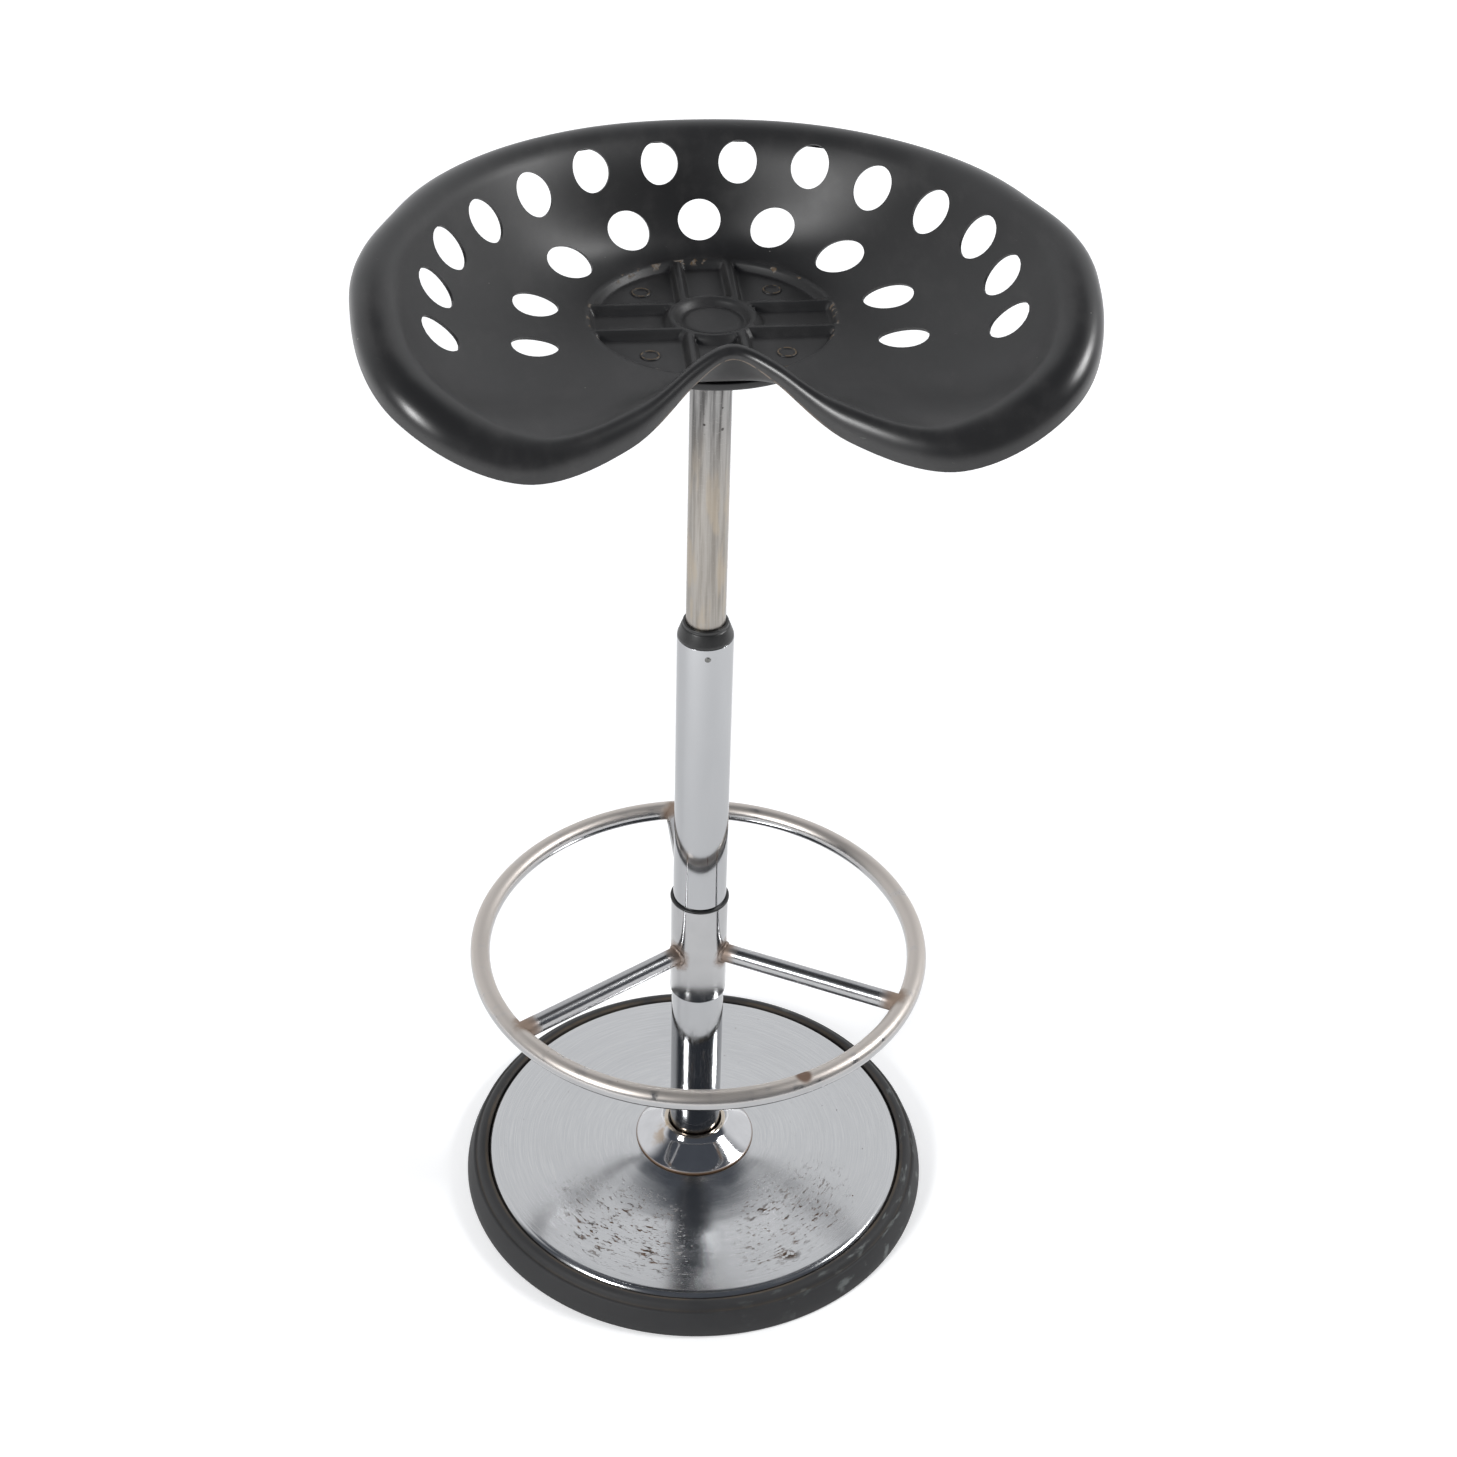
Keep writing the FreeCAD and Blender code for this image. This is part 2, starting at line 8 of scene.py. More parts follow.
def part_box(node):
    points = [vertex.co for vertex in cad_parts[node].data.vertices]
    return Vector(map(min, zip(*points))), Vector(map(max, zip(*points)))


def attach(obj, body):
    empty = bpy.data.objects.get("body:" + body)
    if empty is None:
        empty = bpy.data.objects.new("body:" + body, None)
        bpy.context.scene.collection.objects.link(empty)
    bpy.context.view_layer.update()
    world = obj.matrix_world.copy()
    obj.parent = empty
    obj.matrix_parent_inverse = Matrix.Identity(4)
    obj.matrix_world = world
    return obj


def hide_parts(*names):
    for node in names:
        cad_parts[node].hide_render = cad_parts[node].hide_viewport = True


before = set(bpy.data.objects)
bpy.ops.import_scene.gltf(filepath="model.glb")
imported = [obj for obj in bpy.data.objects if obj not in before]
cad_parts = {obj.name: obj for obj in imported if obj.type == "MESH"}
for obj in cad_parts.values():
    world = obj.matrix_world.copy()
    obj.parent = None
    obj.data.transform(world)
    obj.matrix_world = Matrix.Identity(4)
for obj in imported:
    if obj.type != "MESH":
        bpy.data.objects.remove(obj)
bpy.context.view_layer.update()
MM = 0.001


# ---------------------------------------------------------------- rubber edge
# Moulded black rubber ring, stretched over the skirt of the dish.  It stands on the
# floor, bellies out at the bottom and has a soft shoulder above a moulded groove.
# The helpers that every piece and finish shares come first.
class Shade:
    """A socket in a finish.  Arithmetic on it adds Math nodes, and node() adds any other."""

    def __init__(self, tree, socket=None):
        self.tree = tree
        self.socket = socket

    def node(self, kind, settings=None, inputs=None, output=0):
        made = self.tree.nodes.new("ShaderNode" + kind)
        for name, setting in (settings or {}).items():
            setattr(made, name, setting)
        for name, value in (inputs or {}).items():
            if isinstance(value, Shade):
                self.tree.links.new(value.socket, made.inputs[name])
            else:
                made.inputs[name].default_value = value
        return Shade(self.tree, made.outputs[output])

    def maths(self, operation, *values):
        return self.node("Math", {"operation": operation}, dict(enumerate(values)))

    def __add__(self, other):
        return self.maths("ADD", self, other)

    __radd__ = __add__

    def __sub__(self, other):
        return self.maths("SUBTRACT", self, other)

    def __rsub__(self, other):
        return self.maths("SUBTRACT", other, self)

    def __mul__(self, other):
        return self.maths("MULTIPLY", self, other)

    __rmul__ = __mul__

    def __truediv__(self, other):
        return self.maths("DIVIDE", self, other)

    def __pow__(self, other):
        return self.maths("POWER", self, other)

    def __abs__(self):
        return self.maths("ABSOLUTE", self)


def fade(value, low, high):
    """0 where value is at low, 1 where it is at high, smooth between."""
    inputs = {"Value": value, "From Min": low, "From Max": high}
    return value.node("MapRange", {"interpolation_type": "SMOOTHSTEP"}, inputs)


def mix(share, one, other):
    """A colour between two others."""
    return share.node("Mix", {"data_type": "RGBA"}, {0: share, 6: one, 7: other}, 2)


def stretched(at, sizes):
    """The place in an object, counted in cells of the given sizes in metres."""
    scale = tuple(1 / size for size in sizes)
    return at.node("VectorMath", {"operation": "MULTIPLY"}, {0: at, 1: scale})


def cloud(at, size, detail=3.0, rough=0.55):
    """Soft noise from 0 to 1, in lumps of about the size given in metres."""
    inputs = {"Vector": at, "Scale": 1 / size, "Detail": detail, "Roughness": rough}
    return at.node("TexNoise", None, inputs)


def pits(at, size, reach, share):
    """Round marks no wider than reach (0 to 1 of the cell size), in a share of the cells."""
    cells = {"Vector": at, "Scale": 1 / size}
    distance = at.node("TexVoronoi", None, cells, "Distance")
    colour = at.node("TexVoronoi", None, cells, "Color")
    chosen = at.node("SeparateColor", None, {"Color": colour}, "Red")
    width = chosen / share * reach
    keep = chosen.maths("LESS_THAN", chosen, share)
    return fade(width - distance, 0.0, reach * 0.3) * keep


def finish(name, roughness, metallic=0.0, **constants):
    """A new material, with the sockets that stay the same all over set on its shader."""
    material = bpy.data.materials.new(name)
    material.use_nodes = True
    shader = material.node_tree.nodes["Principled BSDF"]
    shader.inputs["Roughness"].default_value = roughness
    shader.inputs["Metallic"].default_value = metallic
    for socket, value in constants.items():
        shader.inputs[socket.replace("_", " ")].default_value = value
    at = Shade(material.node_tree).node("TexCoord", output="Object")
    return material, shader, at


def feed(shader, colour=None, roughness=None, metallic=None, height_mm=None, painted_glow=None):
    """Joins what varies over a surface to its shader."""
    pairs = {"Base Color": colour, "Roughness": roughness, "Metallic": metallic}
    pairs["Emission Color"] = painted_glow
    if height_mm is not None:
        inputs = {"Height": height_mm, "Distance": MM, "Strength": 1.0}
        pairs["Normal"] = height_mm.node("Bump", None, inputs)
    for name, value in pairs.items():
        if value is not None:
            value.tree.links.new(value.socket, shader.inputs[name])


def polar(at):
    """The three coordinates of a place, and its distance from the column's axis."""
    x = at.node("SeparateXYZ", None, {"Vector": at}, "X")
    y = at.node("SeparateXYZ", None, {"Vector": at}, "Y")
    z = at.node("SeparateXYZ", None, {"Vector": at}, "Z")
    radius = (x * x + y * y) ** 0.5
    return x, y, z, radius


def around(x, y, radius, turn_size, radial_size):
    """Coordinates that run round the column and out from it without a seam."""
    parts = {"X": x / radius / turn_size, "Y": y / radius / turn_size, "Z": radius / radial_size}
    return radius.node("CombineXYZ", None, parts)


def settle(bm, name, materials, crease=35.0):
    """Turns a finished bmesh into an object at the origin, smooth except at creases."""
    mesh = bpy.data.meshes.new(name)
    bm.to_mesh(mesh)
    bm.free()
    mesh.polygons.foreach_set("use_smooth", [True] * len(mesh.polygons))
    mesh.set_sharp_from_angle(angle=math.radians(crease))
    piece = bpy.data.objects.new(name, mesh)
    bpy.context.collection.objects.link(piece)
    for material in materials:
        mesh.materials.append(material)
    return piece


def turned(name, outline, material, steps=160, segments=4, crease=35.0):
    """A piece turned about the column's axis.  The closed outline is (radius, height) in
    millimetres, with a third number where a corner is rounded: how far back it starts."""
    bm = bmesh.new()
    corners = [bm.verts.new((c[0] * MM, 0, c[1] * MM)) for c in outline]
    for one, other in zip(corners, corners[1:] + corners[:1]):
        bm.edges.new((one, other))
    bmesh.ops.spin(
        bm, geom=bm.verts[:] + bm.edges[:], cent=(0, 0, 0), axis=(0, 0, 1),
        angle=2 * math.pi, steps=steps, use_merge=True,
    )
    bmesh.ops.remove_doubles(bm, verts=bm.verts[:], dist=1e-7)
    bmesh.ops.recalc_face_normals(bm, faces=bm.faces[:])
    for corner in outline:
        if len(corner) < 3:
            continue
        at = Vector((corner[0] * MM, corner[1] * MM))
        here = {v for v in bm.verts if (Vector((v.co.xy.length, v.co.z)) - at).length < 1e-6}
        ring = [e for e in bm.edges if e.verts[0] in here and e.verts[1] in here]
        bmesh.ops.bevel(
            bm, geom=ring, offset=corner[2] * MM, offset_type="OFFSET", segments=segments,
            profile=0.5, affect="EDGES", material=-1,
        )
    return settle(bm, name, [material], crease)


def rubber_finish():
    material, shader, at = finish("edge_rubber", 0.62, Specular_IOR_Level=0.4)
    x, y, z, radius = polar(at)
    broad = cloud(at, 0.030)
    fine = cloud(at, 0.0012, 4.0)
    # Pale scuffs run round the shoulder, most of them on the right.
    sweep = around(x, y, radius, 0.10, 0.004)
    streaks = sweep.node("TexNoise", None, {"Vector": sweep, "Scale": 1.0, "Detail": 6.0})
    scuff = fade(streaks, 0.56, 0.72)
    patch = fade(cloud(at, 0.055, 2.0), 0.44, 0.58) * fade(x, -0.02, 0.12)
    scuff = scuff * patch
    # Brown dirt sits against the metal and in the groove.
    dirt = 1 - fade(abs(radius - 0.1685), 0.0, 0.0022)
    groove = 1 - fade(abs(radius - 0.1768), 0.0, 0.0014)
    dirt = (dirt + groove * 0.35) * fade(cloud(at, 0.030), 0.25, 0.65) * fade(z, 0.015, 0.019)
    colour = mix(broad, (0.016, 0.016, 0.017, 1), (0.036, 0.036, 0.037, 1))
    colour = mix(scuff * 0.7, colour, (0.16, 0.175, 0.17, 1))
    colour = mix(dirt * 0.7, colour, (0.095, 0.066, 0.038, 1))
    dust = pits(at, 0.006, 0.10, 0.10)
    colour = mix(dust * 0.6, colour, (0.20, 0.15, 0.10, 1))
    rough = 0.50 + broad * 0.25 - scuff * 0.1
    feed(shader, colour, rough, None, fine * 0.05 + scuff * 0.05 + broad * 0.2)
    return material


rim_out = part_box("rubber_rim")[1][0] / MM
dish_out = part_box("base_dish")[1][0] / MM
rubber_rim = turned(
    "rubber_rim_moulding",
    [
        (158.2, 0.0),
        (rim_out, 0.0, 1.8),
        (rim_out, 6.5, 4.0),
        (rim_out - 5.6, 20.6, 1.6),
        (rim_out - 7.8, 20.2, 0.8),
        (rim_out - 10.5, 25.0, 2.6),
        (rim_out - 15.0, 25.2, 1.2),
        (dish_out + 0.3, 23.9, 0.3),
        (dish_out + 0.3, 9.0),
        (158.2, 9.0),
    ],
    rubber_finish(),
    steps=192,
)
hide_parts("rubber_rim")
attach(rubber_rim, "base")


# ---------------------------------------------------------------- dish of the base
# Pressed steel dish, polished in circles and chrome plated, with a bright rolled edge.
# Four bolts under the cap hold it to the cast weight; its plating is pitted with rust.
def rust_colour(at):
    depth = fade(cloud(at, 0.004), 0.35, 0.65)
    return mix(depth, (0.040, 0.026, 0.018, 1), (0.12, 0.068, 0.040, 1))


def flecks(x, y, radius, turn_size, radial_size, low):
    """Short marks drawn out along the circles of the polish."""
    place = around(x, y, radius, turn_size, radial_size)
    spread = {"Vector": place, "Scale": 1.0, "Detail": 4.0, "Roughness": 0.65}
    return fade(place.node("TexNoise", None, spread), low, low + 0.035)


def dish_finish():
    material, shader, at = finish("dish_chrome", 0.08, 1.0)
    x, y, _, radius = polar(at)
    # Fine circles of the polishing wheel.
    lines = around(x, y, radius, 0.30, 0.0007)
    brushing = cloud(lines, 1.0, 5.0, 0.7)
    haze = cloud(at, 0.045, 4.0)
    # Rust is thick in two fans at the front, thin elsewhere.
    band = fade(radius, 0.062, 0.085) * (1 - fade(radius, 0.135, 0.158))
    front = fade(y * -1, 0.020, 0.085) * band
    fans = fade(abs(x - 0.004), 0.012, 0.040) * (1 - fade(abs(x), 0.095, 0.125))
    patchy = fade(cloud(at, 0.020, 2.0), 0.38, 0.52)
    rust = flecks(x, y, radius, 0.075, 0.0026, 0.575) * front * fans * patchy
    rust = rust.maths("MAXIMUM", rust, flecks(x, y, radius, 0.050, 0.0014, 0.610) * front * fans)
    sparse = flecks(x, y, radius, 0.030, 0.0016, 0.69) * fade(radius, 0.055, 0.070)
    rust = rust.maths("MAXIMUM", rust, sparse)
    rust = rust.maths("MAXIMUM", rust, pits(at, 0.005, 0.16, 0.05) * fade(x + 0.06, 0.0, 0.08))
    big = 1 - fade(((x - 0.062) ** 2.0 * 0.30 + (y + 0.130) ** 2.0) ** 0.5, 0.002, 0.0065)
    big = big * fade(cloud(at, 0.0045, 4.0), 0.44, 0.50)
    rust = rust.maths("MAXIMUM", rust, big)
    rust = rust * (1 - fade(radius, 0.157, 0.161))
    colour = mix(haze, (0.47, 0.475, 0.485, 1), (0.56, 0.565, 0.57, 1))
    colour = mix(fade(brushing, 0.42, 0.68) * 0.30, colour, (0.72, 0.72, 0.72, 1))
    colour = mix(rust, colour, rust_colour(at))
    rough = 0.09 + brushing * 0.10 + fade(haze, 0.42, 0.70) * 0.08 + rust * 0.6
    height = brushing * 0.0022 + haze * 0.02 - rust * 0.012
    feed(shader, colour, rough, 1 - rust * 0.95, height)
    return material


base_dish = turned(
    "base_dish_pressing",
    [
        (22.5, 31.9),
        (46.0, 31.9, 3.0),
        (56.0, 29.1, 5.0),
        (75.0, 26.6, 8.0),
        (97.0, 24.9, 7.0),
        (dish_out, 25.9, 6.5),
        (dish_out, 9.0),
        (dish_out - 1.2, 9.0),
        (dish_out - 1.2, 24.7, 5.3),
        (97.0, 23.7),
        (75.0, 25.4),
        (56.0, 27.8),
        (46.0, 30.7),
        (22.5, 30.7),
    ],
    dish_finish(),
    steps=224,
    segments=8,
)
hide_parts("base_dish")
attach(base_dish, "base")


# ---------------------------------------------------------------- cone cap
# Spun steel cone, chrome plated, that hides the bolts.  Its foot is a brown, rusted
# line on the dish, and the plating is worn to brass colour at the turned top edge.
def cap_finish():
    material, shader, at = finish("cap_chrome", 0.05, 1.0)
    x, y, z, _ = polar(at)
    mottle = cloud(at, 0.010, 4.0)
    foot = 1 - fade(z, 0.0334, 0.0345)
    worn_top = fade(z, 0.0490, 0.0500)
    speck = pits(at, 0.0035, 0.16, 0.10) * fade(mottle, 0.45, 0.6)
    from_stain = ((x + 0.024) ** 2.0 + (y + 0.012) ** 2.0) ** 0.5
    stain = fade(mottle, 0.40, 0.60) * (1 - fade(from_stain, 0.004, 0.016))
    colour = mix(mottle, (0.53, 0.53, 0.54, 1), (0.65, 0.65, 0.66, 1))
    colour = mix(stain * 0.8, colour, (0.42, 0.33, 0.24, 1))
    colour = mix(worn_top * 0.6, colour, (0.50, 0.40, 0.27, 1))
    colour = mix(speck * 0.8, colour, (0.20, 0.15, 0.10, 1))
    colour = mix(foot, colour, (0.15, 0.085, 0.045, 1))
    rough = 0.04 + mottle * 0.08 + stain * 0.15 + foot * 0.45 + speck * 0.3
    feed(shader, colour, rough, 1 - foot * 0.7, mottle * 0.012 - speck * 0.04)
    return material


cap_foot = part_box("base_cap")[0][2] / MM
cap_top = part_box("base_cap")[1][2] / MM
base_cap = turned(
    "base_cap_spinning",
    [
        (46.2, cap_foot + 0.2),
        (47.3, cap_foot + 0.2),
        (47.3, cap_foot + 1.5, 0.35),
        (37.0, 40.2, 7.0),
        (26.5, 46.8, 3.0),
        (24.0, cap_top - 0.2, 0.9),
        (21.3, cap_top - 0.2, 0.4),
        (21.3, cap_top - 1.8),
        (23.0, cap_top - 2.0),
        (25.6, 45.8),
        (36.3, 39.2),
        (46.2, cap_foot + 0.9),
    ],
    cap_finish(),
    segments=6,
)
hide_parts("base_cap")
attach(base_cap, "base")


# ---------------------------------------------------------------- column
# Chrome-plated steel tube, 40 mm across, pinned to its collar at the top.  The plating
# is bright, with sparse pinholes and a brown rust line at the foot.
def column_finish():
    material, shader, at = finish("column_chrome", 0.06, 1.0)
    z = polar(at)[2]
    haze = cloud(stretched(at, (1, 1, 4)), 0.020, 4.0)
    speck = pits(at, 0.007, 0.10, 0.16) * fade(haze, 0.40, 0.55)
    foot = 1 - fade(z, 0.048, 0.056)
    low = 1 - fade(z, 0.150, 0.195)
    bloom = fade(cloud(stretched(at, (1, 1, 3)), 0.009, 5.0), 0.50, 0.68) * low
    colour = mix(haze, (0.365, 0.37, 0.38, 1), (0.42, 0.425, 0.435, 1))
    colour = mix(speck * 0.9, colour, (0.10, 0.09, 0.085, 1))
    colour = mix(foot * 0.7, colour, (0.26, 0.16, 0.08, 1))
    rough = 0.035 + haze * 0.06 + speck * 0.4 + foot * 0.2 + bloom * 0.10
    feed(shader, colour, rough, 1 - speck * 0.6, haze * 0.01 - speck * 0.03)
    return material


column_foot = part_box("column_tube")[0][2] / MM
column_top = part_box("column_tube")[1][2] / MM
column = turned(
    "column_tube_plated",
    [
        (20.0, column_foot),
        (20.0, column_top, 0.3),
        (18.5, column_top),
        (18.5, column_foot),
    ],
    column_finish(),
    steps=96,
)
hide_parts("column_tube")
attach(column, "base")


# ---------------------------------------------------------------- top collar and its pin
# Black moulded bush, tapered above the column with a rolled lip, and the small steel
# pin that holds it through the column's wall.
def moulded_finish(name, tone):
    material, shader, at = finish(name, 0.38)
    grain = cloud(at, 0.0008, 3.0)
    broad = cloud(at, 0.009, 3.0)
    dust = pits(at, 0.003, 0.12, 0.10)
    colour = mix(broad, (tone, tone, tone, 1), (tone * 2, tone * 2, tone * 2, 1))
    colour = mix(dust * 0.4, colour, (0.20, 0.19, 0.17, 1))
    feed(shader, colour, 0.30 + broad * 0.22, None, grain * 0.02 + broad * 0.03)
    return material


collar_black = moulded_finish("collar_moulding", 0.010)
collar_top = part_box("top_collar")[1][2] / MM
collar = turned(
    "top_collar_moulding",
    [
        (14.1, column_top - 41.5),
        (18.4, column_top - 41.5),
        (18.4, column_top + 0.05),
        (19.85, column_top + 0.05, 0.25),
        (19.85, column_top + 1.7, 0.5),
        (17.0, collar_top - 3.0, 0.6),
        (16.2, collar_top - 2.6, 0.4),
        (16.2, collar_top - 0.05, 0.7),
        (14.1, collar_top - 0.05, 0.3),
    ],
    collar_black,
    steps=96,
)
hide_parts("top_collar")
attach(collar, "base")


def steel_finish(name, colour_a, colour_b, base_rough, lump=0.004):
    material, shader, at = finish(name, base_rough, 1.0)
    lumps = cloud(at, lump, 4.0)
    fine = cloud(at, 0.0005, 3.0)
    tarnish = fade(cloud(at, lump * 3, 3.0), 0.50, 0.70)
    colour = mix(lumps, colour_a + (1,), colour_b + (1,))
    colour = mix(tarnish * 0.5, colour, tuple(c * 0.5 for c in colour_a) + (1,))
    rough = base_rough + lumps * 0.15 + tarnish * 0.1
    feed(shader, colour, rough, None, lumps * 0.02 + fine * 0.006)
    return material


zinc = steel_finish("zinc_fasteners", (0.42, 0.41, 0.39), (0.60, 0.59, 0.56), 0.25)


def rounded_pin(name, centre, along, radius, length, material):
    """A round-headed pin from centre outwards, in millimetres."""
    bm = bmesh.new()
    bmesh.ops.create_cone(
        bm, cap_ends=True, segments=32, radius1=radius * MM, radius2=radius * MM,
        depth=length * MM,
    )
    top = [e for e in bm.edges if all(v.co.z > 0 for v in e.verts)]
    bmesh.ops.bevel(
        bm, geom=top, offset=min(length, radius) * 0.45 * MM, offset_type="OFFSET", segments=4,
        profile=0.5, affect="EDGES", material=-1,
    )
    turn = Vector((0, 0, 1)).rotation_difference(Vector(along)).to_matrix().to_4x4()
    place = Matrix.Translation((Vector(centre) + Vector(along) * length / 2) * MM)
    bmesh.ops.transform(bm, matrix=place @ turn, verts=bm.verts[:])
    return settle(bm, name, [material])


pin_low, pin_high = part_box("collar_pin")
pin_z = (pin_low[2] + pin_high[2]) / 2 / MM
pin_steel = steel_finish("pin_steel", (0.13, 0.13, 0.125), (0.22, 0.22, 0.21), 0.35)
collar_pin = rounded_pin("collar_pin_head", (0, -17.0, pin_z), (0, -1, 0), 2.3, 3.6, pin_steel)
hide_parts("collar_pin")
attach(collar_pin, "base")


# ---------------------------------------------------------------- footrest
# A sleeve slides over the column and carries a tube ring on three welded spokes, all
# chrome plated.  Shoes have worn the top of the ring to nickel; the welds are rusty.
footrest_z = (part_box("footrest_ring")[0][2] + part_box("footrest_ring")[1][2]) / 2 / MM
ring_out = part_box("footrest_ring")[1][0] / MM
tube_r = (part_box("footrest_ring")[1][2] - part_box("footrest_ring")[0][2]) / 2 / MM
ring_r = ring_out - tube_r
sleeve_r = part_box("footrest_sleeve")[1][0] / MM
sleeve_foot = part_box("footrest_sleeve")[0][2] / MM
sleeve_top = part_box("footrest_sleeve")[1][2] / MM
spoke_angles = (92.0, 212.0, 332.0)
spoke_r = 7.0


def weld_rust(at, x, y, z):
    """Brown where a spoke meets the sleeve or the ring."""
    mask = None
    for angle in spoke_angles:
        for reach in (sleeve_r, ring_r - tube_r):
            px = reach * MM * math.cos(math.radians(angle))
            py = reach * MM * math.sin(math.radians(angle))
            level = (z - footrest_z * MM) ** 2.0 * 0.8
            gap = ((x - px) ** 2.0 + (y - py) ** 2.0 + level) ** 0.5
            near = 1 - fade(gap - cloud(at, 0.006, 3.0) * 0.006, 0.004, 0.011)
            mask = near if mask is None else mask.maths("MAXIMUM", mask, near)
    return mask


def footrest_finish():
    material, shader, at = finish("footrest_chrome", 0.08, 1.0)
    x, y, z, radius = polar(at)
    haze = cloud(at, 0.016, 4.0)
    fine = cloud(at, 0.0016, 4.0)
    rust = weld_rust(at, x, y, z)
    on_ring = fade(radius, (ring_r - 12) * MM, (ring_r - 8) * MM)
    top = fade(z, (footrest_z + 0.5) * MM, (footrest_z + 5.5) * MM)
    worn = on_ring * top * fade(haze, 0.20, 0.45)
    from_brown = ((x - 0.062) ** 2.0 + (y + 0.154) ** 2.0) ** 0.5
    brown = on_ring * (1 - fade(from_brown, 0.004, 0.0075))
    speck = pits(at, 0.006, 0.10, 0.12)
    colour = mix(haze, (0.37, 0.37, 0.375, 1), (0.44, 0.44, 0.445, 1))
    colour = mix(worn * 0.85, colour, (0.56, 0.51, 0.465, 1))
    colour = mix(rust * 0.75, colour, (0.20, 0.12, 0.07, 1))
    colour = mix(brown * 0.9, colour, (0.14, 0.075, 0.045, 1))
    colour = mix(speck * 0.8, colour, (0.12, 0.10, 0.09, 1))
    on_spoke = 1 - on_ring - (1 - fade(radius, 0.0225, 0.0235))
    rough = 0.08 + haze * 0.08 + worn * 0.31 + on_spoke * 0.12
    rough = rough + rust * 0.30 + brown * 0.4 + speck * 0.2
    height = haze * 0.01 + fine * (rust * 0.12 + worn * 0.006) - speck * 0.02
    feed(shader, colour, rough, 1 - rust * 0.45 - brown * 0.5 - worn * 0.15, height)
    return material


footrest_chrome = footrest_finish()
sleeve = turned(
    "footrest_sleeve_plated",
    [
        (20.2, sleeve_foot),
        (sleeve_r, sleeve_foot, 0.6),
        (sleeve_r, sleeve_top, 0.4),
        (20.2, sleeve_top),
    ],
    footrest_chrome,
    steps=96,
)
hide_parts("footrest_sleeve")

bm = bmesh.new()
bmesh.ops.create_circle(bm, cap_ends=False, segments=32, radius=tube_r * MM)
out_to_ring = Matrix.Translation((ring_r * MM, 0, footrest_z * MM))
upright = Matrix.Rotation(math.pi / 2, 4, "X")
bmesh.ops.transform(bm, matrix=out_to_ring @ upright, verts=bm.verts[:])
bmesh.ops.spin(
    bm, geom=bm.verts[:] + bm.edges[:], cent=(0, 0, 0), axis=(0, 0, 1),
    angle=2 * math.pi, steps=192, use_merge=True,
)
bmesh.ops.remove_doubles(bm, verts=bm.verts[:], dist=1e-7)
bmesh.ops.recalc_face_normals(bm, faces=bm.faces[:])
ring = settle(bm, "footrest_ring_tube", [footrest_chrome])
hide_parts("footrest_ring")


def weld_bead(bm, reach, outward, curve_r, angle, bead_r):
    """A bead of weld round a spoke, bent to the round wall that the spoke meets."""
    before = set(bm.verts)
    made = bmesh.ops.create_circle(bm, cap_ends=False, segments=12, radius=bead_r * MM)
    section = made["verts"]
    bmesh.ops.translate(bm, vec=(0, (spoke_r + 0.2) * MM, 0), verts=section)
    edges = list({e for v in section for e in v.link_edges})
    bmesh.ops.spin(
        bm, geom=section + edges, cent=(0, 0, 0), axis=(1, 0, 0),
        angle=2 * math.pi, steps=48, use_merge=True,
    )
    bead = [v for v in bm.verts if v not in before]
    for v in bead:
        v.co.x *= 1 + 0.22 * math.sin(11 * math.atan2(v.co.z, v.co.y))
        bend = (curve_r**2 - min(abs(v.co.y / MM), curve_r) ** 2) ** 0.5 - curve_r
        v.co.x += (reach + outward * bend) * MM
    bmesh.ops.rotate(
        bm, cent=(0, 0, 0), matrix=Matrix.Rotation(math.radians(angle), 3, "Z"), verts=bead
    )
    bmesh.ops.translate(bm, vec=(0, 0, footrest_z * MM), verts=bead)


for number, angle in enumerate(spoke_angles, 1):
    bm = bmesh.new()
    length = ring_r - sleeve_r + 2
    bmesh.ops.create_cone(
        bm, cap_ends=True, segments=48, radius1=spoke_r * MM, radius2=spoke_r * MM,
        depth=length * MM,
    )
    lay = Matrix.Rotation(math.radians(angle), 4, "Z") @ Matrix.Rotation(math.pi / 2, 4, "Y")
    middle = (sleeve_r - 2 + length / 2) * MM
    direction = Vector((math.cos(math.radians(angle)), math.sin(math.radians(angle)), 0))
    place = Matrix.Translation(direction * middle + Vector((0, 0, footrest_z * MM)))
    bmesh.ops.transform(bm, matrix=place @ lay, verts=bm.verts[:])
    weld_bead(bm, sleeve_r + 0.5, 1, sleeve_r, angle, 1.5)
    bmesh.ops.remove_doubles(bm, verts=bm.verts[:], dist=1e-7)
    bmesh.ops.recalc_face_normals(bm, faces=bm.faces[:])
    spoke = settle(bm, "footrest_spoke_%d_welded" % number, [footrest_chrome])
    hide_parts("footrest_spoke_%d" % number)
    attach(spoke, "base")

for piece in (sleeve, ring):
    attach(piece, "base")

# Thin black ring that closes the gap between the sleeve's top and the column.
trim_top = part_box("sleeve_ring")[1][2] / MM
sleeve_ring = turned(
    "sleeve_ring_moulding",
    [
        (20.15, sleeve_top),
        (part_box("sleeve_ring")[1][0] / MM, sleeve_top, 0.7),
        (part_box("sleeve_ring")[1][0] / MM, trim_top - 0.1, 0.8),
        (20.15, trim_top - 0.1),
    ],
    moulded_finish("black_ring", 0.008),
    steps=96,
)
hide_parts("sleeve_ring")
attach(sleeve_ring, "base")


